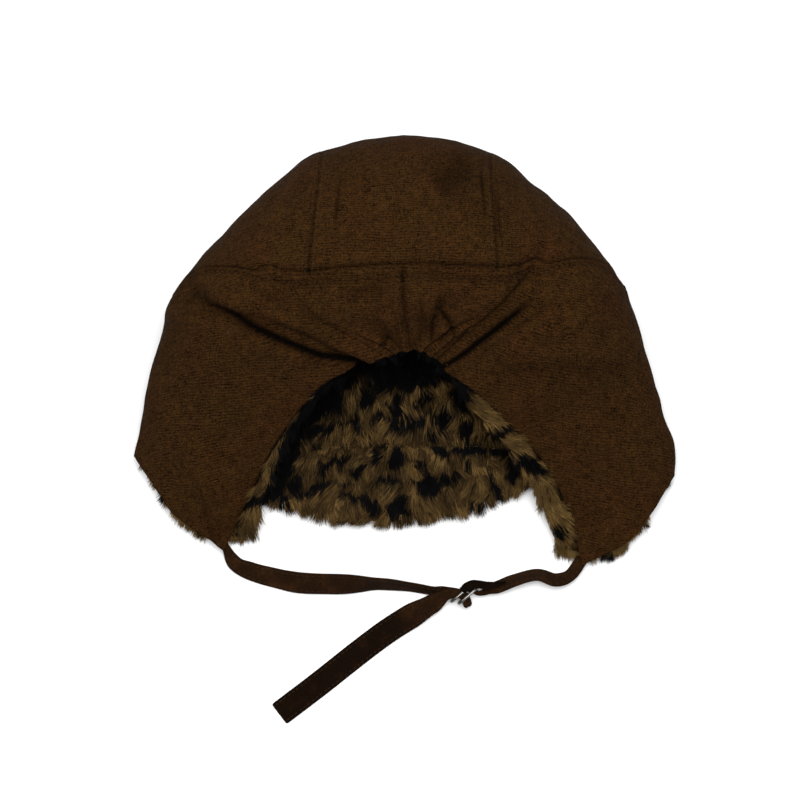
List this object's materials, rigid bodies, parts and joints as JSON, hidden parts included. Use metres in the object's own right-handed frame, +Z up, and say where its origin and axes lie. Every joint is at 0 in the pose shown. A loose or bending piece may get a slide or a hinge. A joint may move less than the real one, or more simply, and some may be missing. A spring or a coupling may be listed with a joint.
{
  "type": "trooper hat",
  "caption": "Soft trooper hat in brushed cotton with a fur lining, ear flaps spread, gathered nape and buckled chin strap, lying on its front.",
  "frame": {"origin": "on the floor under the middle of the crown, on the underside of the strip between the crown's sides", "axes": "+Z up from the floor, +Y towards the crown's top, +X towards the flap with the short strap; the hat's back faces up"},
  "size_m": [0.3076, 0.3326, 0.096],
  "materials": {
    "cloth": "brushed cotton, dark brown",
    "fur": "short pile, brown with black spots",
    "strap": "folded brushed cotton, dark brown",
    "ring": "polished wire"
  },
  "bodies": {
    "root": {"crown_left": "cloth", "crown_centre": "cloth", "crown_right": "cloth", "flap_left": "cloth", "flap_right": "cloth", "lining_crown": "fur", "visor_cloth": "cloth", "visor_fur": "fur", "strap_long": "strap", "strap_short": "strap", "buckle_ring_inner": "ring", "buckle_ring_outer": "ring"}
  },
  "joints": []
}
